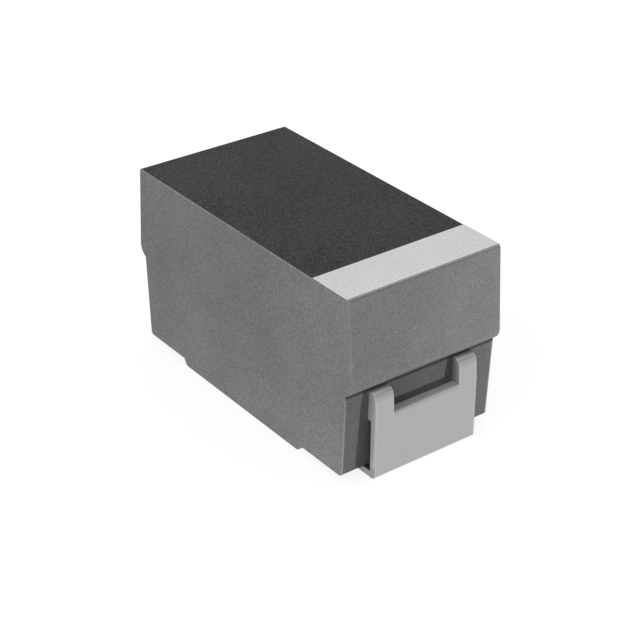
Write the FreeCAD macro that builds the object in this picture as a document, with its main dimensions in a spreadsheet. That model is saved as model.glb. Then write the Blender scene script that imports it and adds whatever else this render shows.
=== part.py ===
import FreeCAD, Part
import os
import Sketcher

# A moulded tantalum chip capacitor in the 3216-18 case size, in millimetres.
# +X points at the anode end, which carries the band, and +Z points up. The origin
# lies on the standing plane, the terminals' undersides, below the case's middle.

doc = FreeCAD.newDocument("tantalum_capacitor")

dimensions = {
    # the moulded case
    "case_length": 3.17,          # over the two ledges, its longest line
    "case_width": 1.6,
    "case_height": 1.765,         # top face above the standing plane
    "parting_height": 0.85,       # underside of the ledges
    "upper_taper": 0.055,         # how far each end leans in from ledge to top
    "recess_depth": 0.075,        # how far each end steps back under its ledge
    "ledge_curl": 0.015,          # by how much the ledge's round outgrows the step
    "lower_taper": 0.04,          # how far each lower end leans in to the underside
    "root_round": 0.02,           # the hollow round where recess and ledge meet
    "lower_edge_round": 0.03,
    # the standing foot under the middle
    "foot_gap": 0.002,            # foot above the standing plane
    "foot_draft": 0.05,
    "foot_clearance": 0.06,       # between the foot and the end of each leg
    # the light band on the anode end of the top
    "band_width": 0.46,
    "band_thickness": 0.006,
    # the two terminals
    "terminal_stand_out": 0.015,  # outer face beyond the ledge
    "terminal_width": 1.11,
    "prong_width": 0.202,
    "prong_rise": 0.25,           # notch floor to the top of the prongs
    "lead_thickness": 0.1,        # strip as rolled: prongs and inner straps
    "leg_thickness": 0.06,        # strip as coined: lower plate and leg
    "coin_drop": 0.035,           # notch floor to where the coined plate begins
    "leg_length": 0.62,
    "leg_gap": 0.004,             # between the leg and the case's underside
    "exit_drop": 0.01,            # top of the strip below the parting line
    "upper_bend_inside": 0.005,
    "lower_bend_outside": 0.035,
    "window_reach": 0.18,         # how far inside the wall the prongs join
    "bridge_length": 0.087,       # the full-width strip behind that window
    "anode_tab_width": 0.5,
    "cathode_strap_width": 0.9,
    "cathode_strap_reach": 0.2,   # strap's end short of the pellet's front
    # what the case is moulded round
    "side_wall": 0.205,
    "floor_wall": 0.203,
    "roof_wall": 0.332,
    "pellet_chamfer": 0.06,
    "pellet_to_bridge": 0.94,     # front of the pellet to the anode's bridge
    "strap_to_pellet": 0.04,      # cathode's upright part to the coated pellet
    "oxide_coat": 0.03,
    "graphite_coat": 0.015,
    "silver_coat": 0.025,
    "graphite_setback": 0.08,     # where each dip stops short of the pellet's front
    "silver_setback": 0.12,
    "adhesive_thickness": 0.03,
    "adhesive_margin": 0.08,      # adhesive inside the strap's edges
    "wire_radius": 0.1,
    "wire_embed": 0.9,            # pressed into the pellet
    "wire_to_bridge": 0.19,       # free end of the wire to the anode's bridge
    "weld_flat": 0.012,           # flattened off the wire's underside at the weld
    "washer_radius": 0.23,
    "washer_thickness": 0.06,
    "tab_to_washer": 0.26,
}

sizes = doc.addObject("Spreadsheet::Sheet", "sizes")
for row, (alias, value) in enumerate(dimensions.items(), start=1):
    sizes.set(f"A{row}", alias)
    sizes.set(f"B{row}", str(value))
    sizes.setAlias(f"B{row}", alias)
doc.recompute()

# Places that several pieces share, as formulas on the sheet's values.
case_end = "sizes.case_length / 2"
recess_end = f"({case_end} - sizes.recess_depth)"
top_end = f"({case_end} - sizes.upper_taper)"
lower_end = f"({recess_end} - sizes.lower_taper)"
underside = "(sizes.leg_thickness + sizes.leg_gap)"
ledge_round = "(sizes.recess_depth + sizes.ledge_curl)"
ledge_line = f"(sizes.parting_height + {ledge_round})"
ledge_root = f"({ledge_line} - sqrt({ledge_round} ^ 2 - sizes.ledge_curl ^ 2))"

outer_face = f"({case_end} + sizes.terminal_stand_out)"
leg_end = f"({outer_face} - sizes.leg_length)"
foot_root = f"({leg_end} - sizes.foot_clearance)"
foot_end = f"({foot_root} - sizes.foot_draft)"
lead_top = "(sizes.parting_height - sizes.exit_drop)"
lead_bottom = f"({lead_top} - sizes.lead_thickness)"
notch_floor = f"({lead_top} - sizes.prong_rise)"
coin_top = f"({notch_floor} - sizes.coin_drop)"
notch_width = "(sizes.terminal_width - 2 * sizes.prong_width)"
window_end = f"({recess_end} - sizes.window_reach)"
bridge_end = f"({window_end} - sizes.bridge_length)"

all_coats = "(sizes.oxide_coat + sizes.graphite_coat + sizes.silver_coat)"
strap_top = f"({underside} + sizes.floor_wall + sizes.lead_thickness)"
pellet_bottom = f"({strap_top} + sizes.adhesive_thickness + {all_coats})"
pellet_top = f"(sizes.case_height - sizes.roof_wall - {all_coats})"
pellet_width = f"(sizes.case_width - 2 * sizes.side_wall - 2 * {all_coats})"
pellet_back = f"(sizes.strap_to_pellet + {all_coats} - {bridge_end})"
pellet_front = f"({bridge_end} - sizes.pellet_to_bridge)"
washer_front = f"({pellet_front} + sizes.washer_thickness)"
tab_end = f"({washer_front} + sizes.tab_to_washer)"
wire_end = f"({bridge_end} - sizes.wire_to_bridge)"
wire_height = f"({lead_top} + sizes.wire_radius - sizes.weld_flat)"
strap_end = f"({pellet_front} - sizes.cathode_strap_reach)"


def number(formula):
    return float(sizes.evalExpression(formula))


def new_body(label):
    body = doc.addObject("PartDesign::Body", label)
    body.Label = label
    body.Placement = FreeCAD.Placement()
    return body


def new_sketch(body, name, role, height=None):
    """A sketch on one of the body's own origin planes, raised by a formula."""
    sketch = body.newObject("Sketcher::SketchObject", name)
    plane = next(item for item in body.Origin.OriginFeatures if item.Role == role)
    sketch.AttachmentSupport = (plane, [""])
    sketch.MapMode = "FlatFace"
    if height:
        sketch.setExpression("AttachmentOffset.Base.z", height)
    return sketch


def place_point(sketch, item, point, axis, formula, name):
    kind = "DistanceX" if axis == 0 else "DistanceY"
    index = sketch.addConstraint(Sketcher.Constraint(kind, item, point, number(formula)))
    sketch.renameConstraint(index, name)
    sketch.setExpression(f"Constraints.{name}", formula)


def draw_outline(sketch, corners, arc_centres=None):
    """A closed outline, drawn anticlockwise, through corners given as pairs of formulas.

    arc_centres turns the edge that leaves a corner into an arc about that centre."""
    arc_centres = arc_centres or {}
    points = [FreeCAD.Vector(number(across), number(up), 0) for across, up in corners]
    count = len(points)
    for index, start in enumerate(points):
        end = points[(index + 1) % count]
        if index in arc_centres:
            across, up = arc_centres[index]
            centre = FreeCAD.Vector(number(across), number(up), 0)
            circle = Part.Circle(centre, FreeCAD.Vector(0, 0, 1), centre.distanceToPoint(start))
            edge = Part.ArcOfCircle(circle, circle.parameter(start), circle.parameter(end))
        else:
            edge = Part.LineSegment(start, end)
        sketch.addGeometry(edge, False)
    for index in range(count):
        sketch.addConstraint(Sketcher.Constraint("Coincident", index, 2, (index + 1) % count, 1))
    for index, (across, up) in enumerate(corners):
        place_point(sketch, index, 1, 0, across, f"across_{index}")
        place_point(sketch, index, 1, 1, up, f"up_{index}")
    for index, (across, _) in arc_centres.items():
        place_point(sketch, index, 3, 0, across, f"centre_{index}")


def draw_circle(sketch, radius, up):
    centre = FreeCAD.Vector(0, number(up), 0)
    sketch.addGeometry(Part.Circle(centre, FreeCAD.Vector(0, 0, 1), number(radius)), False)
    sketch.addConstraint(Sketcher.Constraint("PointOnObject", 0, 3, -2))
    place_point(sketch, 0, 3, 1, up, "up")
    index = sketch.addConstraint(Sketcher.Constraint("Radius", 0, number(radius)))
    sketch.renameConstraint(index, "radius")
    sketch.setExpression("Constraints.radius", radius)


def extrude(body, kind, name, sketch, length, symmetric=False):
    """A Pad or a Pocket; a symmetric one grows both ways from its sketch."""
    feature = body.newObject(f"PartDesign::{kind}", name)
    feature.Profile = sketch
    if symmetric:
        feature.SideType = "Symmetric"
    feature.setExpression("Length", length)
    doc.recompute()
    return feature


def pad_across(body, name, corners, width, arc_centres=None):
    """A side outline in XZ, padded across Y about the middle."""
    sketch = new_sketch(body, f"{name}_outline", "XZ_Plane")
    draw_outline(sketch, corners, arc_centres)
    return extrude(body, "Pad", name, sketch, width, symmetric=True)


def pocket_across(body, name, corners, width):
    sketch = new_sketch(body, f"{name}_outline", "XZ_Plane")
    draw_outline(sketch, corners)
    return extrude(body, "Pocket", name, sketch, width, symmetric=True)


def rectangle(left, right, bottom, top):
    return [(left, bottom), (right, bottom), (right, top), (left, top)]


def cross_edges(feature, places):
    """Names of the edges that run along Y through the given XZ places."""
    found = []
    for index, edge in enumerate(feature.Shape.Edges, start=1):
        box = edge.BoundBox
        if box.YLength < 1e-4 or box.XLength > 1e-4 or box.ZLength > 1e-4:
            continue
        for across, up in places:
            if abs(box.XMin - number(across)) < 1e-4 and abs(box.ZMin - number(up)) < 1e-4:
                found.append(f"Edge{index}")
    return found


def dress(body, kind, name, feature, edges, size):
    """A Fillet or a Chamfer of one size on the named edges of a feature."""
    dressing = body.newObject(f"PartDesign::{kind}", name)
    dressing.Base = (feature, edges)
    dressing.setExpression("Radius" if kind == "Fillet" else "Size", size)
    doc.recompute()
    return dressing


def mirrored(formula, side):
    return formula if side > 0 else f"-{formula}"


def side_points(points, side):
    """Points given for the +X end, taken to either end and kept anticlockwise."""
    placed = [(mirrored(across, side), up) for across, up in points]
    return placed if side > 0 else placed[::-1]


def make_case_block():
    """Outer form of the case: two moulded halves that meet at the ledges."""
    body = new_body("case_block")
    right = [
        (f"{foot_end}", "sizes.foot_gap"),
        (f"{foot_root}", underside),
        (f"{lower_end}", underside),
        (f"{recess_end}", ledge_root),
        (f"({case_end})", ledge_line),
        (f"{top_end}", "sizes.case_height"),
    ]
    left = [(f"-{across}", up) for across, up in reversed(right)]
    centre = f"({case_end} - {ledge_round})"
    arcs = {3: (centre, ledge_line), 7: (f"-{centre}", ledge_line)}
    block = pad_across(body, "halves", right + left, "sizes.case_width", arcs)

    both_ends = [(recess_end, ledge_root), (f"-{recess_end}", ledge_root)]
    roots = dress(body, "Fillet", "ledge_roots", block, cross_edges(block, both_ends),
                  "sizes.root_round")
    lower = [(lower_end, underside), (foot_end, "sizes.foot_gap")]
    lower += [(f"-{across}", up) for across, up in lower]
    dress(body, "Fillet", "lower_edges", roots, cross_edges(roots, lower),
          "sizes.lower_edge_round")
    return body


def make_terminal(label, side):
    """Folded strip: leg, coined plate, two prongs that bend in, and the bridge inside."""
    body = new_body(label)
    coined_face = f"({outer_face} - sizes.leg_thickness)"
    prong_face = f"({outer_face} - sizes.lead_thickness)"
    section = [
        (leg_end, "0"),
        (outer_face, "0"),
        (outer_face, lead_top),
        (bridge_end, lead_top),
        (bridge_end, lead_bottom),
        (prong_face, lead_bottom),
        (prong_face, coin_top),
        (coined_face, coin_top),
        (coined_face, "sizes.leg_thickness"),
        (leg_end, "sizes.leg_thickness"),
    ]
    strip = pad_across(body, "strip", side_points(section, side), "sizes.terminal_width")

    bend_out = cross_edges(strip, [(mirrored(outer_face, side), lead_top)])
    upper = dress(body, "Fillet", "upper_bend", strip, bend_out,
                  "sizes.upper_bend_inside + sizes.lead_thickness")
    bend_in = cross_edges(upper, [(mirrored(prong_face, side), lead_bottom)])
    inner = dress(body, "Fillet", "upper_bend_hollow", upper, bend_in, "sizes.upper_bend_inside")
    fold = cross_edges(inner, [(mirrored(outer_face, side), "0")])
    dress(body, "Fillet", "lower_bend", inner, fold, "sizes.lower_bend_outside")

    past_face = f"({outer_face} + sizes.lead_thickness)"
    past_top = f"({lead_top} + sizes.lead_thickness)"
    window = rectangle(window_end, past_face, notch_floor, past_top)
    pocket_across(body, "notch", side_points(window, side), notch_width)
    return body


def make_anode_terminal():
    """Its inner tab runs on level, up to where the riser wire lies on it."""
    body = make_terminal("anode_terminal", 1)
    pad_across(body, "tab", rectangle(tab_end, bridge_end, lead_bottom, lead_top),
               "sizes.anode_tab_width")
    return body


def make_cathode_terminal():
    """Its inner strap steps down behind the pellet and runs under it."""
    body = make_terminal("cathode_terminal", -1)
    upright = f"({bridge_end} + sizes.lead_thickness)"
    strap_bottom = f"({strap_top} - sizes.lead_thickness)"
    strap = [
        (f"-{upright}", strap_bottom),
        (strap_end, strap_bottom),
        (strap_end, strap_top),
        (f"-{bridge_end}", strap_top),
        (f"-{bridge_end}", lead_top),
        (f"-{upright}", lead_top),
    ]
    pad_across(body, "strap", strap, "sizes.cathode_strap_width")
    return body


def make_pellet_block(label, coat, front):
    """The pressed block grown by the thickness of its coats; chamfers keep the coats even."""
    body = new_body(label)
    outline = rectangle(f"({pellet_back} - {coat})", front,
                        f"({pellet_bottom} - {coat})", f"({pellet_top} + {coat})")
    block = pad_across(body, "block", outline, f"{pellet_width} + 2 * {coat}")
    open_front = front != f"({pellet_front} + {coat})"
    edges = []
    for index, edge in enumerate(block.Shape.Edges, start=1):
        if not (open_front and abs(edge.BoundBox.XMin - number(front)) < 1e-4):
            edges.append(f"Edge{index}")
    dress(body, "Chamfer", "edges", block, edges,
          f"sizes.pellet_chamfer + (2 - sqrt(2)) * {coat}")
    return body


def make_pellet():
    """Sintered block with the wire pressed into its front."""
    body = make_pellet_block("tantalum_pellet", "0", f"({pellet_front} + 0)")
    sketch = new_sketch(body, "wire_hole_outline", "YZ_Plane", pellet_front)
    draw_circle(sketch, "sizes.wire_radius", wire_height)
    extrude(body, "Pocket", "wire_hole", sketch, "sizes.wire_embed")
    return body


def make_wire():
    """Riser wire, with the flat that the weld leaves where it lies on the tab."""
    body = new_body("riser_wire")
    sketch = new_sketch(body, "section", "YZ_Plane", f"{pellet_front} - sizes.wire_embed")
    draw_circle(sketch, "sizes.wire_radius", wire_height)
    extrude(body, "Pad", "drawn_wire", sketch, f"{wire_end} - {pellet_front} + sizes.wire_embed")
    past_end = f"({wire_end} + sizes.wire_radius)"
    flat = rectangle(tab_end, past_end, lead_bottom, lead_top)
    pocket_across(body, "weld_face", flat, "4 * sizes.wire_radius")
    return body


def make_washer():
    body = new_body("wire_washer")
    disc_sketch = new_sketch(body, "disc_outline", "YZ_Plane", pellet_front)
    draw_circle(disc_sketch, "sizes.washer_radius", wire_height)
    extrude(body, "Pad", "disc", disc_sketch, "sizes.washer_thickness")
    hole_sketch = new_sketch(body, "hole_outline", "YZ_Plane", washer_front)
    draw_circle(hole_sketch, "sizes.wire_radius", wire_height)
    extrude(body, "Pocket", "hole", hole_sketch, "2 * sizes.washer_thickness")
    return body


def make_adhesive():
    """Silver-filled adhesive between the cathode strap and the coated pellet."""
    body = new_body("silver_adhesive")
    left = f"({pellet_back} + sizes.adhesive_margin)"
    right = f"({strap_end} - sizes.adhesive_margin)"
    pad_across(body, "layer", rectangle(left, right, strap_top,
                                        f"({strap_top} + sizes.adhesive_thickness)"),
               "sizes.cathode_strap_width - 2 * sizes.adhesive_margin")
    return body


def make_band():
    """Light printed band across the top, which marks the anode end."""
    body = new_body("polarity_band")
    outline = rectangle(f"({top_end} - sizes.band_width)", top_end, "sizes.case_height",
                        "(sizes.case_height + sizes.band_thickness)")
    pad_across(body, "print", outline, "sizes.case_width")
    return body


def fuse(name, shapes):
    fusion = doc.addObject("Part::MultiFuse", name)
    fusion.Shapes = shapes
    return fusion


def cut(label, base, tool):
    result = doc.addObject("Part::Cut", label)
    result.Label = label
    result.Base = base
    result.Tool = tool
    return result


case_block = make_case_block()
band = make_band()
anode = make_anode_terminal()
cathode = make_cathode_terminal()
pellet = make_pellet()
wire = make_wire()
washer = make_washer()
adhesive = make_adhesive()

# Each coat is its grown block less what it was dipped over.
two_coats = "(sizes.oxide_coat + sizes.graphite_coat)"
oxide_block = make_pellet_block("oxide_block", "sizes.oxide_coat",
                                f"({pellet_front} + sizes.oxide_coat)")
graphite_block = make_pellet_block("graphite_block", two_coats,
                                   f"({pellet_front} - sizes.graphite_setback)")
silver_block = make_pellet_block("silver_block", all_coats,
                                 f"({pellet_front} - sizes.silver_setback)")
oxide = cut("manganese_dioxide_layer", oxide_block, fuse("wired_pellet", [pellet, wire, washer]))
graphite = cut("graphite_layer", graphite_block, oxide_block)
silver = cut("silver_layer", silver_block, graphite_block)

# The case is moulded round everything that it holds.
held = [oxide_block, graphite_block, silver_block, wire, washer, adhesive, anode, cathode]
case = cut("moulded_case", case_block, fuse("moulded_over", held))
doc.recompute()

sub_parts = [case, band, anode, cathode, pellet, wire, washer, oxide, graphite, silver, adhesive]
for item in doc.Objects:
    if {"Invalid", "Error"} & set(item.State):
        raise RuntimeError(f"{item.Label} failed: {item.State}")
for sub_part in sub_parts:
    shape = sub_part.Shape
    if shape.isNull() or not shape.isValid() or len(shape.Solids) != 1:
        raise RuntimeError(f"{sub_part.Label} is not one valid solid")

os.makedirs("parts", exist_ok=True)
for sub_part in sub_parts:
    sub_part.Shape.exportStep(f"parts/{sub_part.Label}.step")
    print(f"{sub_part.Label:26s} {sub_part.Shape.Volume:.4f} mm3")
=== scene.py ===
import math

import bmesh
import bpy
from mathutils import Matrix, Vector


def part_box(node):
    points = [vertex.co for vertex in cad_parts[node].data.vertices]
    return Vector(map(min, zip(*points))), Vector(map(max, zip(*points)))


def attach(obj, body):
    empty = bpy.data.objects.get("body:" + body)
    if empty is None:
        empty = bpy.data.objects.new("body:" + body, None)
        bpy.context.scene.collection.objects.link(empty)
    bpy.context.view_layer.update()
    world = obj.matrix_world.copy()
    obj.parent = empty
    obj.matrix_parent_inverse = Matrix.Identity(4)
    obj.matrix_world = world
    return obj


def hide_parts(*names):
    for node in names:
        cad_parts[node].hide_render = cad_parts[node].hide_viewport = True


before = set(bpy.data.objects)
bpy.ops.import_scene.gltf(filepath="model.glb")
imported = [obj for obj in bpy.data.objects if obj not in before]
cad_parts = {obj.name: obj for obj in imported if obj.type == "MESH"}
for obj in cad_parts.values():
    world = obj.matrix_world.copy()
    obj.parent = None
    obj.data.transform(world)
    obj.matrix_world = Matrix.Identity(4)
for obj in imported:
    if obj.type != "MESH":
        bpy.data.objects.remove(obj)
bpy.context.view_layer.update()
bpy.context.scene.view_settings.view_transform = "Standard"

# The pieces are shaped in millimetres, then shrunk to metres about the origin.
millimetre = 0.001
near = 0.002         # how close two places are to count as one, in millimetres
merging = near / 10  # points closer than this become one
facing = 0.9         # how nearly a normal points one way for its face to count
running = 0.99       # the same for an edge's direction
print("frame loaded:", len(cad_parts), "nodes")


# Helpers for shaping by hand

def deselectEverything():
    if bpy.context.object and bpy.context.object.mode != "OBJECT":
        bpy.ops.object.mode_set(mode="OBJECT")
    bpy.ops.object.select_all(action="DESELECT")


def nodeBox(node):
    low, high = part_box(node)
    return low / millimetre, high / millimetre


def startBlock(name, low, high):
    deselectEverything()
    low, high = Vector(low), Vector(high)
    bpy.ops.mesh.primitive_cube_add(size=1, location=(low + high) / 2, scale=high - low)
    bpy.ops.object.transform_apply(location=True, rotation=True, scale=True)
    block = bpy.context.object
    block.name = name
    block.data.name = name
    bpy.ops.object.mode_set(mode="EDIT")
    return block


def pickFaces(test):
    bpy.ops.mesh.select_mode(type="FACE")
    mesh = bpy.context.object.data
    cage = bmesh.from_edit_mesh(mesh)
    for face in cage.faces:
        face.select_set(False)
    for face in cage.faces:
        if test(face.calc_center_median(), face.normal):
            face.select_set(True)
    bmesh.update_edit_mesh(mesh)


def pickEdges(test):
    bpy.ops.mesh.select_mode(type="EDGE")
    mesh = bpy.context.object.data
    cage = bmesh.from_edit_mesh(mesh)
    for edge in cage.edges:
        edge.select_set(False)
    for edge in cage.edges:
        middle = (edge.verts[0].co + edge.verts[1].co) / 2
        along = (edge.verts[1].co - edge.verts[0].co).normalized()
        if test(middle, along):
            edge.select_set(True)
    bmesh.update_edit_mesh(mesh)


def extrude(x=0, y=0, z=0):
    bpy.ops.mesh.extrude_region_move(
        TRANSFORM_OT_translate={"value": (x, y, z), "orient_type": "GLOBAL"})


def stretch(x=1, y=1, z=1, about=(0, 0, 0)):
    bpy.ops.transform.resize(value=(x, y, z), orient_type="GLOBAL", center_override=about)


def roundPicked(radius, segments):
    bpy.ops.mesh.bevel(offset=radius, segments=segments, profile=0.5, affect="EDGES")


# small rounds on what is still sharp, smooth shading, then the real size
def finishPiece(piece, edgeRound, segments, limit):
    bpy.ops.object.mode_set(mode="OBJECT")
    soften = piece.modifiers.new("softEdges", "BEVEL")
    soften.width = edgeRound
    soften.segments = segments
    soften.limit_method = "ANGLE"
    soften.angle_limit = math.radians(limit)
    bpy.ops.object.modifier_apply(modifier=soften.name)
    bpy.ops.object.mode_set(mode="EDIT")
    bpy.ops.mesh.select_all(action="SELECT")
    bpy.ops.mesh.remove_doubles(threshold=merging)
    bpy.ops.object.mode_set(mode="OBJECT")
    bpy.ops.transform.resize(value=(millimetre,) * 3, center_override=(0, 0, 0))
    bpy.ops.object.transform_apply(location=True, rotation=True, scale=True)
    bpy.ops.object.shade_smooth_by_angle(angle=math.radians(limit))


# Moulded case: lower block, ledge round, drafted upper block, standing foot

caseLow, caseHigh = nodeBox("moulded_case")
bandLow, bandHigh = nodeBox("polarity_band")
anodeLow, anodeHigh = nodeBox("anode_terminal")

case = {
    "ledgeEnd": caseHigh.x,
    "topEnd": bandHigh.x,
    "recessEnd": caseHigh.x - 0.075,
    "lowerEnd": caseHigh.x - 0.115,
    "halfWidth": caseHigh.y,
    "top": caseHigh.z,
    "parting": anodeHigh.z + 0.0226,
    "underside": 0.064,
    "ledgeRound": 0.12,
    "ledgeSteps": 12,
    "topRound": 0.027,
    "topSteps": 5,
    "rootRound": 0.02,      # where the ledge meets the recess
    "rootSteps": 4,
    "lowerRound": 0.03,
    "lowerSteps": 5,
    "footUnder": caseLow.z,
    "footRoot": 0.905,
    "footEnd": 0.87,
    "footRound": 0.03,
    "footSteps": 5,
    "footRootRound": 0.01,
    "footRootSteps": 3,
    "edgeRound": 0.02,      # at most: the bevel holds it to 0.0015 where small faces meet
    "edgeSteps": 3,
    "smoothBelow": 35,      # degrees between faces that are shaded as one
}


def makeCase():
    endOut, sideOut = case["lowerEnd"], case["halfWidth"]
    curlCentre = case["ledgeEnd"] - case["ledgeRound"]
    curlHeight = case["parting"] + case["ledgeRound"]
    startAngle = -math.acos((case["recessEnd"] - curlCentre) / case["ledgeRound"])
    ledgeRoot = curlHeight + case["ledgeRound"] * math.sin(startAngle)
    body = startBlock("mouldedBody", (-endOut, -sideOut, case["underside"]),
                      (endOut, sideOut, ledgeRoot))

    # the lower block leans out to the ledge, which curls round it in short steps
    pickFaces(lambda at, out: out.z > facing)
    stretch(x=case["recessEnd"] / endOut)
    reach, level = case["recessEnd"], ledgeRoot
    for step in range(1, case["ledgeSteps"] + 1):
        angle = startAngle * (1 - step / case["ledgeSteps"])
        nextReach = curlCentre + case["ledgeRound"] * math.cos(angle)
        nextLevel = curlHeight + case["ledgeRound"] * math.sin(angle)
        extrude(z=nextLevel - level)
        stretch(x=nextReach / reach)
        reach, level = nextReach, nextLevel
    extrude(z=case["top"] - level)
    stretch(x=case["topEnd"] / reach)

    # the foot stands proud of the middle of the underside
    for side in (-1, 1):
        pickFaces(lambda at, out: out.z < -facing)
        bpy.ops.mesh.bisect(plane_co=(side * case["footRoot"], 0, 0), plane_no=(1, 0, 0),
                            threshold=merging)
    pickFaces(lambda at, out: out.z < -facing and abs(at.x) < case["footRoot"] / 2)
    extrude(z=case["footUnder"] - case["underside"])
    stretch(x=case["footEnd"] / case["footRoot"])

    def acrossAt(x, z):
        return lambda at, along: (abs(along.y) > running and abs(abs(at.x) - x) < near
                                  and abs(at.z - z) < near)

    pickEdges(acrossAt(case["topEnd"], case["top"]))
    roundPicked(case["topRound"], case["topSteps"])
    pickEdges(acrossAt(case["recessEnd"], ledgeRoot))
    roundPicked(case["rootRound"], case["rootSteps"])
    pickEdges(acrossAt(case["lowerEnd"], case["underside"]))
    roundPicked(case["lowerRound"], case["lowerSteps"])
    pickEdges(acrossAt(case["footEnd"], case["footUnder"]))
    roundPicked(case["footRound"], case["footSteps"])
    pickEdges(acrossAt(case["footRoot"], case["underside"]))
    roundPicked(case["footRootRound"], case["footRootSteps"])
    finishPiece(body, case["edgeRound"], case["edgeSteps"], case["smoothBelow"])
    return body


# Polarity band: the top of the case again, cut to the band and given the ink's thickness

band = {
    "start": bandLow.x,
    "wrap": 0.007,      # how far the ink runs down the rounded edge
    "thickness": bandHigh.z - bandLow.z,
    "onCut": 0.0001,    # points this close to a cut lie on it
    "merging": 0.001,
}


def makeBand(body):
    deselectEverything()
    body.select_set(True)
    bpy.context.view_layer.objects.active = body
    bpy.ops.object.duplicate()
    ink = bpy.context.object
    ink.name = "bandInk"
    ink.data.name = "bandInk"
    bpy.ops.object.mode_set(mode="EDIT")
    bpy.ops.mesh.select_all(action="SELECT")
    bpy.ops.mesh.bisect(plane_co=(band["start"] * millimetre, 0, 0), plane_no=(-1, 0, 0),
                        clear_outer=True, threshold=band["onCut"] * millimetre)
    bpy.ops.mesh.select_all(action="SELECT")
    rim = (case["top"] - band["wrap"]) * millimetre
    bpy.ops.mesh.bisect(plane_co=(0, 0, rim), plane_no=(0, 0, -1), clear_outer=True,
                        threshold=band["onCut"] * millimetre)
    bpy.ops.mesh.select_all(action="SELECT")
    extrude(z=band["thickness"] * millimetre)
    bpy.ops.mesh.select_all(action="SELECT")
    bpy.ops.mesh.remove_doubles(threshold=band["merging"] * millimetre)
    bpy.ops.mesh.normals_make_consistent(inside=False)
    bpy.ops.object.mode_set(mode="OBJECT")
    bpy.ops.object.shade_smooth_by_angle(angle=math.radians(case["smoothBelow"]))
    return ink


# Terminals: leg, coined plate, forked prongs bent in under the ledge, and the inner strap

terminal = {
    "face": anodeHigh.x,
    "halfWidth": anodeHigh.y - 0.005,
    "legEnd": 0.98,
    "coined": 0.06,     # the strip's thickness in the plate and the leg
    "strip": 0.1,       # and above them
    "coinTop": 0.555,
    "notchFloor": 0.59,
    "notchHalf": anodeHigh.y - 0.202,
    "crestTop": anodeHigh.z - 0.008,
    "crestRound": 0.07,
    "crestSteps": 8,
    "lean": 0.016,      # how far the prongs lean back by their crest
    "leadTop": anodeHigh.z,
    "riseStart": 1.46,  # inside the case the strip rises from the crest's level to its own
    "riseEnd": 1.42,
    "windowEnd": 1.33,
    "bridgeEnd": 1.243,
    "foldRound": 0.035,
    "foldSteps": 6,
    "notchRound": 0.03,
    "notchSteps": 5,
    "edgeRound": 0.006,  # at most: the bevel holds it to 0.001
    "edgeSteps": 2,
    "smoothBelow": 40,  # degrees between faces that are shaded as one
}
innerStrap = {
    "tabEnd": anodeLow.x,
    "tabHalf": 0.25,
    "strapHalf": 0.45,
    "strapTop": 0.367,
    "strapEnd": nodeBox("cathode_terminal")[1].x,
}


# the fork of the +X end, up to the bridge that joins its prongs inside the case
def foldFork(name):
    t = terminal
    plateIn = t["face"] - t["coined"]
    fork = startBlock(name, (t["legEnd"], -t["halfWidth"], 0),
                      (plateIn, t["halfWidth"], t["coined"]))
    pickFaces(lambda at, out: out.x > facing)
    extrude(x=t["coined"])
    pickFaces(lambda at, out: out.z > facing and at.x > plateIn)
    extrude(z=t["coinTop"] - t["coined"])
    extrude(z=t["notchFloor"] - t["coinTop"])

    # above the coined plate the strip keeps its full thickness
    pickFaces(lambda at, out: out.x < -facing and at.z > t["coinTop"])
    extrude(x=t["coined"] - t["strip"])
    pickEdges(lambda at, along: abs(along.y) > running and abs(at.x - plateIn) < near
              and abs(at.z - t["notchFloor"]) < near)
    bpy.ops.mesh.dissolve_edges()

    for side in (-1, 1):
        pickFaces(lambda at, out: out.z > facing and at.z > t["coinTop"])
        bpy.ops.mesh.bisect(plane_co=(0, side * t["notchHalf"], 0), plane_no=(0, 1, 0),
                            threshold=merging)
    pickFaces(lambda at, out: out.z > facing and at.z > t["coinTop"]
              and abs(at.y) > t["notchHalf"])
    crestUnder = t["crestTop"] - t["strip"]
    slope = t["lean"] / (t["crestTop"] - t["notchFloor"])
    extrude(x=slope * (t["notchFloor"] - crestUnder), z=crestUnder - t["notchFloor"])
    extrude(x=-slope * t["strip"], z=t["strip"])

    # the crest turns in through the wall, where the strip rises to its level inside
    pickFaces(lambda at, out: out.x < -facing and at.z > crestUnder
              and abs(at.y) > t["notchHalf"])
    extrude()
    stretch(x=0, about=(t["riseStart"], 0, 0))
    extrude(x=t["riseEnd"] - t["riseStart"], z=t["leadTop"] - t["crestTop"])
    extrude(x=t["windowEnd"] - t["riseEnd"])
    extrude(x=t["bridgeEnd"] - t["windowEnd"])
    pickFaces(lambda at, out: abs(out.y) > facing and abs(abs(at.y) - t["notchHalf"]) < near
              and t["bridgeEnd"] < at.x < t["windowEnd"])
    bpy.ops.mesh.bridge_edge_loops()
    return fork


# the crest, the fold under the plate and the soft front edge that punching leaves on the notch
def roundFolds():
    t = terminal
    pickEdges(lambda at, along: abs(along.y) > running and at.x > t["face"] - t["coined"]
              and abs(at.z - t["crestTop"]) < near)
    roundPicked(t["crestRound"], t["crestSteps"])
    pickEdges(lambda at, along: abs(along.y) > running and abs(at.x - t["face"]) < near
              and abs(at.z) < near)
    roundPicked(t["foldRound"], t["foldSteps"])
    pickEdges(lambda at, along: abs(along.y) > running and abs(at.x - t["face"]) < near
              and abs(at.y) < t["notchHalf"] / 2 and abs(at.z - t["notchFloor"]) < near)
    roundPicked(t["notchRound"], t["notchSteps"])


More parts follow.
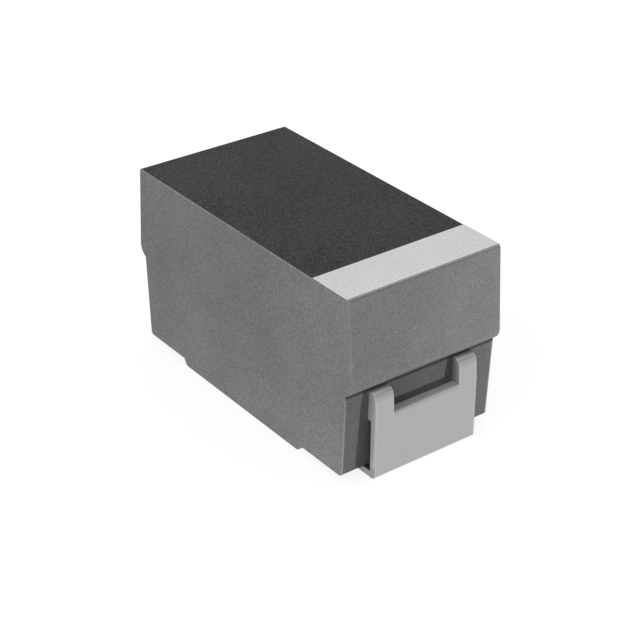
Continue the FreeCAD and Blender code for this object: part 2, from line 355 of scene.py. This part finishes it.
def makeAnodeTerminal():
    t = terminal
    fork = foldFork("anodeStrip")
    pickFaces(lambda at, out: out.x < -facing and abs(at.x - t["bridgeEnd"]) < near
              and abs(at.y) < t["notchHalf"] / 2)
    extrude()
    stretch(y=innerStrap["tabHalf"] / t["notchHalf"])
    extrude(x=innerStrap["tabEnd"] - t["bridgeEnd"])
    roundFolds()
    finishPiece(fork, t["edgeRound"], t["edgeSteps"], t["smoothBelow"])
    return fork


def makeCathodeTerminal():
    t = terminal
    fork = foldFork("cathodeStrip")
    underBridge = t["leadTop"] - t["strip"]
    pickFaces(lambda at, out: out.z < -facing and abs(at.z - underBridge) < near
              and t["bridgeEnd"] < at.x < t["windowEnd"])
    bpy.ops.mesh.dissolve_faces()
    bpy.ops.mesh.inset(thickness=near)
    stretch(y=innerStrap["strapHalf"] / (t["halfWidth"] - near))
    extrude(z=innerStrap["strapTop"] - underBridge)
    extrude(z=-t["strip"])
    pickFaces(lambda at, out: out.x < -facing and at.z < innerStrap["strapTop"]
              and t["bridgeEnd"] - near < at.x < t["windowEnd"])
    extrude(x=-innerStrap["strapEnd"] - t["bridgeEnd"])
    roundFolds()
    finishPiece(fork, t["edgeRound"], t["edgeSteps"], t["smoothBelow"])
    # half a turn takes it to the other end
    bpy.ops.transform.rotate(value=math.pi, orient_axis="Z", center_override=(0, 0, 0))
    bpy.ops.object.transform_apply(location=True, rotation=True, scale=True)
    return fork


mouldedBody = makeCase()
bandInk = makeBand(mouldedBody)
anodeStrip = makeAnodeTerminal()
cathodeStrip = makeCathodeTerminal()
standIns = {
    "moulded_case": (mouldedBody, "moulded_epoxy"),
    "polarity_band": (bandInk, "band_print"),
    "anode_terminal": (anodeStrip, "tinned_strip"),
    "cathode_terminal": (cathodeStrip, "tinned_strip"),
}
for node, (piece, slot) in standIns.items():
    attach(piece, "root")
    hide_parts(node)
print("case, band and terminals modelled")


# Shader groups that several finishes share

def newGroup(name, inputs, outputs):
    group = bpy.data.node_groups.new(name, "ShaderNodeTree")
    for label, kind, value in inputs:
        socket = group.interface.new_socket(label, in_out="INPUT", socket_type=kind)
        if value is not None:
            socket.default_value = value
    for label, kind in outputs:
        group.interface.new_socket(label, in_out="OUTPUT", socket_type=kind)
    entry = group.nodes.new("NodeGroupInput")
    leave = group.nodes.new("NodeGroupOutput")
    return group, entry, leave


def addNoise(tree, vector, scale, detail, roughness):
    noise = tree.nodes.new("ShaderNodeTexNoise")
    noise.inputs["Detail"].default_value = detail
    noise.inputs["Roughness"].default_value = roughness
    tree.links.new(vector, noise.inputs["Vector"])
    tree.links.new(scale, noise.inputs["Scale"])
    return noise.outputs["Fac"]


def addMath(tree, operation, first, second):
    node = tree.nodes.new("ShaderNodeMath")
    node.operation = operation
    for socket, value in zip(node.inputs, (first, second)):
        if isinstance(value, (int, float)):
            socket.default_value = value
        else:
            tree.links.new(value, socket)
    return node.outputs[0]


def multiply(tree, first, second):
    return addMath(tree, "MULTIPLY", first, second)


def isOver(tree, value, limit):
    return addMath(tree, "GREATER_THAN", value, limit)


def isUnder(tree, value, limit):
    return addMath(tree, "LESS_THAN", value, limit)


# how many layers each noise has, and how much the finer ones count
grainNoise = {"grain": (2.0, 0.6), "clouds": (3.0, 0.5), "middle": 0.5}


# fine speckle and slow clouds, as a shade round 1 and a height for bump
def makeGrainGroup():
    group, entry, leave = newGroup(
        "grainAndClouds",
        [("Vector", "NodeSocketVector", None), ("Grain Scale", "NodeSocketFloat", 90.0),
         ("Grain Depth", "NodeSocketFloat", 0.1), ("Cloud Scale", "NodeSocketFloat", 1.2),
         ("Cloud Depth", "NodeSocketFloat", 0.1)],
        [("Shade", "NodeSocketFloat"), ("Height", "NodeSocketFloat")])
    grain = addNoise(group, entry.outputs["Vector"], entry.outputs["Grain Scale"],
                     *grainNoise["grain"])
    clouds = addNoise(group, entry.outputs["Vector"], entry.outputs["Cloud Scale"],
                      *grainNoise["clouds"])
    grainPart = multiply(group, addMath(group, "SUBTRACT", grain, grainNoise["middle"]),
                         entry.outputs["Grain Depth"])
    cloudPart = multiply(group, addMath(group, "SUBTRACT", clouds, grainNoise["middle"]),
                         entry.outputs["Cloud Depth"])
    shade = addMath(group, "ADD", addMath(group, "ADD", grainPart, cloudPart), 1.0)
    group.links.new(shade, leave.inputs["Shade"])
    group.links.new(grain, leave.inputs["Height"])
    return group


grainGroup = makeGrainGroup()


# a material with its shader, and Object coordinates counted in millimetres
def newFinish(name):
    finish = bpy.data.materials.new(name)
    finish.use_nodes = True
    tree = finish.node_tree
    shader = tree.nodes["Principled BSDF"]
    coordinates = tree.nodes.new("ShaderNodeTexCoord")
    mapping = tree.nodes.new("ShaderNodeMapping")
    mapping.inputs["Scale"].default_value = (1 / millimetre,) * 3
    tree.links.new(coordinates.outputs["Object"], mapping.inputs["Vector"])
    return finish, tree, shader, mapping.outputs["Vector"]


def placeGroup(tree, group, values, vector):
    node = tree.nodes.new("ShaderNodeGroup")
    node.node_tree = group
    for label, value in values.items():
        node.inputs[label].default_value = value
    tree.links.new(vector, node.inputs["Vector"])
    return node


# the colour times the shade, whether the colour is a socket or fixed
def shadeColour(tree, colour, shade):
    scale = tree.nodes.new("ShaderNodeVectorMath")
    scale.operation = "SCALE"
    if isinstance(colour, tuple):
        scale.inputs[0].default_value = colour
    else:
        tree.links.new(colour, scale.inputs[0])
    tree.links.new(shade, scale.inputs["Scale"])
    return scale.outputs[0]


# between two numbers or sockets, by a factor from 0 to 1
def blend(tree, factor, first, second):
    mix = tree.nodes.new("ShaderNodeMix")
    tree.links.new(factor, mix.inputs["Factor"])
    for label, value in (("A", first), ("B", second)):
        if isinstance(value, (int, float)):
            mix.inputs[label].default_value = value
        else:
            tree.links.new(value, mix.inputs[label])
    return mix.outputs["Result"]


# each step is where it starts and ends, and what it multiplies the tone by
def stepTones(tree, value, steps):
    tone = 1.0
    for start, end, factor in steps:
        fade = tree.nodes.new("ShaderNodeMapRange")
        fade.interpolation_type = "SMOOTHSTEP"
        fade.inputs["From Min"].default_value = start
        fade.inputs["From Max"].default_value = end
        fade.inputs["To Min"].default_value = 1.0
        fade.inputs["To Max"].default_value = factor
        tree.links.new(value, fade.inputs["Value"])
        tone = multiply(tree, tone, fade.outputs["Result"])
    return tone


def splitPlace(tree, place):
    split = tree.nodes.new("ShaderNodeSeparateXYZ")
    tree.links.new(place, split.inputs[0])
    return split.outputs["X"], split.outputs["Y"], split.outputs["Z"]


# how far a coordinate is from the middle, either way
def awayFromMiddle(tree, value):
    return addMath(tree, "ABSOLUTE", value, 0)


# the depth is in millimetres
def addBump(tree, shader, height, depth):
    bump = tree.nodes.new("ShaderNodeBump")
    bump.inputs["Strength"].default_value = 1.0
    bump.inputs["Distance"].default_value = depth * millimetre
    tree.links.new(height, bump.inputs["Height"])
    tree.links.new(bump.outputs["Normal"], shader.inputs["Normal"])


def spreadRoughness(tree, shader, value, low, high):
    spread = tree.nodes.new("ShaderNodeMapRange")
    spread.inputs["To Min"].default_value = low
    spread.inputs["To Max"].default_value = high
    tree.links.new(value, spread.inputs["Value"])
    tree.links.new(spread.outputs["Result"], shader.inputs["Roughness"])


epoxy = {
    "side": (0.149, 0.149, 0.15),
    # painted shade: the top gets a darker colour than the sides of the same epoxy, for the
    # little light that falls on it from above
    "top": (0.047, 0.047, 0.047),
    "shadedTopLine": case["top"] - 0.001,   # the dark top starts here
    "grain": {"Grain Scale": 88.1, "Grain Depth": 1.7, "Cloud Scale": 2.2,
              "Cloud Depth": 0.35},
    "topGrain": {"Grain Scale": 75.0, "Grain Depth": 4.0, "Cloud Scale": 1.6,
                 "Cloud Depth": 0.6},
    # painted shade: the ends below the ledge are darker, with a painted contact shadow darkest
    # where they meet it, painted shade between the prongs and on the curl's lower part, and a
    # painted highlight that makes them lighter on the corner
    "recess": {"start": 1.46, "end": 0.93, "shade": 0.69, "corner": 0.786, "side": 0.7995,
               "cornerPaintedHighlight": 1.15, "prongGap": 0.35, "prongGapPaintedShade": 0.7},
    "recessPaintedShadeSteps": ((0.825, 0.845, 0.37), (0.868, 0.884, 2.6), (0.885, 0.915, 1.45)),
    # painted light: the long sides get a painted highlight along the top edge, and are painted
    # lighter near the bottom and towards the band; the ends are painted lighter to one side
    "longSide": case["halfWidth"] - case["edgeRound"],
    "longSidePaintedLightSteps": ((0.1, 0.75, 0.87), (case["top"] - 0.02, case["top"] - 0.012, 1.35)),
    "longSidePaintedLight": 1.1,
    "lengthPaintedLightSteps": ((0.1, 1.4, 1.12),),
    "endPaintedLight": 0.9,
    "endPaintedLightSteps": ((-0.8, 0.8, 1.2),),
    "bump": 0.0025,
    "roughness": (0.65, 0.8),
    "specular": 0.15,
}


# painted shade on the ends below the ledge, and a painted highlight on their corners
def recessPaintedShade(tree, outward, across, up):
    recess = epoxy["recess"]
    inRecess = multiply(tree, isOver(tree, outward, recess["start"]),
                        isUnder(tree, up, recess["end"]))
    inRecess = multiply(tree, inRecess, isUnder(tree, across, recess["side"]))
    onCorner = multiply(tree, isOver(tree, across, recess["corner"]),
                        isUnder(tree, up, case["parting"]))
    wall = blend(tree, onCorner, recess["shade"], recess["cornerPaintedHighlight"])
    inGap = isUnder(tree, across, recess["prongGap"])
    wall = multiply(tree, wall, blend(tree, inGap, 1.0, recess["prongGapPaintedShade"]))
    wall = multiply(tree, wall, stepTones(tree, up, epoxy["recessPaintedShadeSteps"]))
    return blend(tree, inRecess, 1.0, wall)


# painted light and a painted highlight on the long sides and the ends
def paintedSideLight(tree, x, y, across, up):
    onLongSide = isOver(tree, across, epoxy["longSide"])
    longSide = multiply(tree, stepTones(tree, up, epoxy["longSidePaintedLightSteps"]),
                        stepTones(tree, x, epoxy["lengthPaintedLightSteps"]))
    longSide = multiply(tree, longSide, epoxy["longSidePaintedLight"])
    end = multiply(tree, stepTones(tree, y, epoxy["endPaintedLightSteps"]), epoxy["endPaintedLight"])
    return blend(tree, onLongSide, end, longSide)


def makeEpoxy():
    finish, tree, shader, place = newFinish("mouldedEpoxy")
    grain = placeGroup(tree, grainGroup, epoxy["grain"], place)
    topGrain = placeGroup(tree, grainGroup, epoxy["topGrain"], place)
    x, y, up = splitPlace(tree, place)
    outward, across = awayFromMiddle(tree, x), awayFromMiddle(tree, y)
    sides = shadeColour(tree, epoxy["side"], grain.outputs["Shade"])
    sides = shadeColour(tree, sides, recessPaintedShade(tree, outward, across, up))
    sides = shadeColour(tree, sides, paintedSideLight(tree, x, y, across, up))
    # painted shade: the darker top colour takes over on the top face
    mix = tree.nodes.new("ShaderNodeMix")
    mix.data_type = "RGBA"
    tree.links.new(isOver(tree, up, epoxy["shadedTopLine"]), mix.inputs["Factor"])
    tree.links.new(sides, mix.inputs["A"])
    tree.links.new(shadeColour(tree, epoxy["top"], topGrain.outputs["Shade"]), mix.inputs["B"])
    tree.links.new(mix.outputs["Result"], shader.inputs["Base Color"])
    spreadRoughness(tree, shader, grain.outputs["Height"], *epoxy["roughness"])
    addBump(tree, shader, grain.outputs["Height"], epoxy["bump"])
    shader.inputs["Specular IOR Level"].default_value = epoxy["specular"]
    return finish


# Plainer finishes differ only in their values
plainSpecular = 0.5
finishes = {
    "bandPrint": {
        "colour": (0.76, 0.76, 0.76), "metal": 0.0, "roughness": (0.85, 0.95),
        "bump": 0.0015, "specular": 0.1,
        "grain": {"Grain Scale": 70.0, "Grain Depth": 0.9, "Cloud Scale": 2.0,
                  "Cloud Depth": 0.15}},
    "tinPlate": {
        "colour": (0.376, 0.376, 0.376), "metal": 0.5, "roughness": (0.5, 0.6),
        "bump": 0.0008,
        "grain": {"Grain Scale": 50.0, "Grain Depth": 0.08, "Cloud Scale": 2.5,
                  "Cloud Depth": 0.05}},
    "sinteredTantalum": {
        "colour": (0.14, 0.14, 0.155), "metal": 0.7, "roughness": (0.6, 0.85),
        "bump": 0.012,
        "grain": {"Grain Scale": 45.0, "Grain Depth": 0.7, "Cloud Scale": 3.0,
                  "Cloud Depth": 0.2}},
    "drawnWire": {
        "colour": (0.33, 0.33, 0.36), "metal": 1.0, "roughness": (0.25, 0.4),
        "bump": 0.0015,
        "grain": {"Grain Scale": 40.0, "Grain Depth": 0.15, "Cloud Scale": 4.0,
                  "Cloud Depth": 0.1}},
    "washerPlastic": {
        "colour": (0.78, 0.78, 0.76), "metal": 0.0, "roughness": (0.35, 0.5),
        "bump": 0.001,
        "grain": {"Grain Scale": 30.0, "Grain Depth": 0.06, "Cloud Scale": 5.0,
                  "Cloud Depth": 0.05}},
    "manganeseDioxide": {
        "colour": (0.03, 0.03, 0.033), "metal": 0.0, "roughness": (0.5, 0.8),
        "bump": 0.008,
        "grain": {"Grain Scale": 35.0, "Grain Depth": 0.8, "Cloud Scale": 3.0,
                  "Cloud Depth": 0.3}},
    "graphiteCoat": {
        "colour": (0.06, 0.06, 0.064), "metal": 0.2, "roughness": (0.45, 0.6),
        "bump": 0.003,
        "grain": {"Grain Scale": 40.0, "Grain Depth": 0.3, "Cloud Scale": 2.0,
                  "Cloud Depth": 0.3}},
    "silverCoat": {
        "colour": (0.56, 0.55, 0.52), "metal": 0.85, "roughness": (0.4, 0.6),
        "bump": 0.003,
        "grain": {"Grain Scale": 60.0, "Grain Depth": 0.3, "Cloud Scale": 2.5,
                  "Cloud Depth": 0.15}},
    "silverPaste": {
        "colour": (0.5, 0.49, 0.46), "metal": 0.8, "roughness": (0.5, 0.7),
        "bump": 0.004,
        "grain": {"Grain Scale": 45.0, "Grain Depth": 0.35, "Cloud Scale": 3.0,
                  "Cloud Depth": 0.2}},
}


# tin is duller on the cut edges, with painted shade on them towards the top and at the fold;
# it has painted shade and a painted highlight line over the crest, a painted highlight along
# the rims with a darker line beside it, painted shade in the gap and under the case, and
# painted light on the notch floor; the steps go outwards, across or up
tin = {
    "cutEdge": terminal["halfWidth"] - 0.003,
    "cutEdgeDullnessAndShade": 0.7,
    "cutEdgeSteps": ((0.09, 0.13, 1.34), (0.5, 0.8, 0.8)),
    "legTop": terminal["coined"] - near,
    "legPaintedShade": 0.2,
    "legSteps": ((1.53, 1.54, 5.0),),
    "gapHalf": terminal["notchHalf"] + 0.003,
    "gapFloor": terminal["notchFloor"] + 0.004,
    "gapPaintedShade": 0.42,
    "gapSteps": ((1.51, 1.6, 1.6),),
    "gapFloorSteps": ((0.575, 0.59, 1.45),),
    "crestSteps": ((0.752, 0.768, 0.9), (0.802, 0.808, 0.94), (0.812, 0.821, 1.6),
                   (0.828, 0.832, 0.75)),
    "rimHighlightSteps": ((0.535, 0.538, 1.15), (0.545, 0.548, 0.87)),
    "prongRimHighlightSteps": ((0.353, 0.356, 1.15), (0.362, 0.366, 0.87)),
}


# painted shade and painted highlights on the tin
def tinPaintedShade(tree, place):
    x, y, up = splitPlace(tree, place)
    outward, across = awayFromMiddle(tree, x), awayFromMiddle(tree, y)
    gapWall = multiply(tree, stepTones(tree, outward, tin["gapSteps"]), tin["gapPaintedShade"])
    prong = multiply(tree, stepTones(tree, up, tin["crestSteps"]),
                     stepTones(tree, across, tin["prongRimHighlightSteps"]))
    gap = blend(tree, isOver(tree, up, tin["gapFloor"]),
                stepTones(tree, up, tin["gapFloorSteps"]), gapWall)
    fork = blend(tree, isUnder(tree, across, tin["gapHalf"]), prong, gap)
    leg = multiply(tree, stepTones(tree, outward, tin["legSteps"]), tin["legPaintedShade"])
    plate = blend(tree, isOver(tree, up, tin["legTop"]), 1.0, leg)
    front = blend(tree, isOver(tree, up, terminal["coinTop"]), plate, fork)
    front = multiply(tree, front, stepTones(tree, across, tin["rimHighlightSteps"]))
    cut = multiply(tree, stepTones(tree, up, tin["cutEdgeSteps"]), tin["cutEdgeDullnessAndShade"])
    return blend(tree, isOver(tree, across, tin["cutEdge"]), front, cut)


# painted shade: the cut side of the band's ink is darker than its face
inkSidePaintedShade = {"shade": 0.35, "start": bandHigh.z - 0.002, "end": bandHigh.z - 0.001}


def bandPaintedShade(tree, place):
    up = splitPlace(tree, place)[2]
    steps = ((inkSidePaintedShade["start"], inkSidePaintedShade["end"], 1 / inkSidePaintedShade["shade"]),)
    return multiply(tree, stepTones(tree, up, steps), inkSidePaintedShade["shade"])


# painted shade and highlights for the tin and for the side of the band's ink
tones = {"tinPlate": tinPaintedShade, "bandPrint": bandPaintedShade}


def makeFinish(name):
    values = finishes[name]
    finish, tree, shader, place = newFinish(name)
    grain = placeGroup(tree, grainGroup, values["grain"], place)
    colour = shadeColour(tree, values["colour"], grain.outputs["Shade"])
    if name in tones:
        colour = shadeColour(tree, colour, tones[name](tree, place))
    tree.links.new(colour, shader.inputs["Base Color"])
    shader.inputs["Metallic"].default_value = values["metal"]
    shader.inputs["Specular IOR Level"].default_value = values.get("specular", plainSpecular)
    spreadRoughness(tree, shader, grain.outputs["Height"], *values["roughness"])
    addBump(tree, shader, grain.outputs["Height"], values["bump"])
    return finish


def giveFinish(piece, finish):
    piece.data.materials.clear()
    piece.data.materials.append(finish)


giveFinish(mouldedBody, makeEpoxy())
giveFinish(bandInk, makeFinish("bandPrint"))
tinPlate = makeFinish("tinPlate")
giveFinish(anodeStrip, tinPlate)
giveFinish(cathodeStrip, tinPlate)
innerFinishes = {
    "tantalum_pellet": "sinteredTantalum",
    "riser_wire": "drawnWire",
    "wire_washer": "washerPlastic",
    "manganese_dioxide_layer": "manganeseDioxide",
    "graphite_layer": "graphiteCoat",
    "silver_layer": "silverCoat",
    "silver_adhesive": "silverPaste",
}
for node, name in innerFinishes.items():
    giveFinish(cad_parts[node], makeFinish(name))
print("finishes made")


# Stage: pale floor, white surroundings, soft lamps, camera

plainWhite = (1, 1, 1, 1)
stage = {
    "floorHalf": 0.12,
    "floorColour": (0.3, 0.3, 0.3, 1),
    "floorRoughness": 0.9,
    "floorGlow": 0.81,
    "ambient": 0.7,
    "lampDistance": 0.03,
}


# what the camera sees, directly, mirrored or through glass
def addSeen(tree, path):
    seen = addMath(tree, "MAXIMUM", path.outputs["Is Camera Ray"],
                   path.outputs["Is Glossy Ray"])
    return addMath(tree, "MAXIMUM", seen, path.outputs["Is Transmission Ray"])


def makeFloor():
    deselectEverything()
    bpy.ops.mesh.primitive_plane_add(size=2 * stage["floorHalf"], location=(0, 0, 0))
    floor = bpy.context.object
    floor.name = "floor"
    finish = bpy.data.materials.new("paleFloor")
    finish.use_nodes = True
    tree = finish.node_tree
    shader = tree.nodes["Principled BSDF"]
    shader.inputs["Base Color"].default_value = stage["floorColour"]
    shader.inputs["Roughness"].default_value = stage["floorRoughness"]
    shader.inputs["Specular IOR Level"].default_value = 0.0
    shader.inputs["Emission Color"].default_value = plainWhite
    path = tree.nodes.new("ShaderNodeLightPath")
    glow = multiply(tree, addSeen(tree, path), stage["floorGlow"])
    tree.links.new(glow, shader.inputs["Emission Strength"])
    giveFinish(floor, finish)
    # like a light table, it lets the low key lamp through
    floor.visible_shadow = False


def makeWorld():
    world = bpy.data.worlds.new("studio")
    world.use_nodes = True
    tree = world.node_tree
    around = tree.nodes["Background"]
    around.inputs["Color"].default_value = plainWhite
    around.inputs["Strength"].default_value = stage["ambient"]
    white = tree.nodes.new("ShaderNodeBackground")
    white.inputs["Color"].default_value = plainWhite
    white.inputs["Strength"].default_value = 1.0
    choose = tree.nodes.new("ShaderNodeMixShader")
    path = tree.nodes.new("ShaderNodeLightPath")
    tree.links.new(addSeen(tree, path), choose.inputs["Fac"])
    tree.links.new(around.outputs[0], choose.inputs[1])
    tree.links.new(white.outputs[0], choose.inputs[2])
    tree.links.new(choose.outputs[0], tree.nodes["World Output"].inputs["Surface"])
    bpy.context.scene.world = world


# azimuth from +X towards +Y and elevation in degrees, light on a facing surface,
# softness, and whether it makes highlights
lamps = {
    "keyLamp": {"azimuth": 40, "elevation": -33, "light": 1.15, "angle": 5, "shines": False},
    "fillLamp": {"azimuth": -80, "elevation": 6, "light": 0.66, "angle": 40, "shines": True},
}


def makeLamps():
    for name, values in lamps.items():
        around, up = math.radians(values["azimuth"]), math.radians(values["elevation"])
        towards = Vector((math.cos(around) * math.cos(up), math.sin(around) * math.cos(up),
                          math.sin(up)))
        deselectEverything()
        bpy.ops.object.light_add(type="SUN", location=towards * stage["lampDistance"])
        lamp = bpy.context.object
        lamp.name = name
        lamp.rotation_euler = towards.to_track_quat("Z", "Y").to_euler()
        lamp.data.energy = values["light"] * math.pi
        lamp.data.angle = math.radians(values["angle"])
        lamp.visible_glossy = values["shines"]


camera = {
    "place": (10.6682, -8.0004, 8.287),
    "right": (0.60216, 0.79836, 0.00427),
    "up": (-0.40035, 0.29733, 0.86678),
    "back": (0.69074, -0.52365, 0.49866),
    "lens": 96.344,
    "sensor": 36.0,
    "clip": (0.0005, 1.0),
}


def makeCamera():
    deselectEverything()
    bpy.ops.object.camera_add()
    view = bpy.context.object
    view.name = "photoView"
    turn = Matrix((camera["right"], camera["up"], camera["back"])).transposed().to_4x4()
    view.matrix_world = Matrix.Translation(Vector(camera["place"]) * millimetre) @ turn
    view.data.lens = camera["lens"]
    view.data.sensor_width = camera["sensor"]
    view.data.clip_start, view.data.clip_end = camera["clip"]
    bpy.context.scene.camera = view


makeFloor()
makeWorld()
makeLamps()
makeCamera()
print("stage, lamps and camera set")
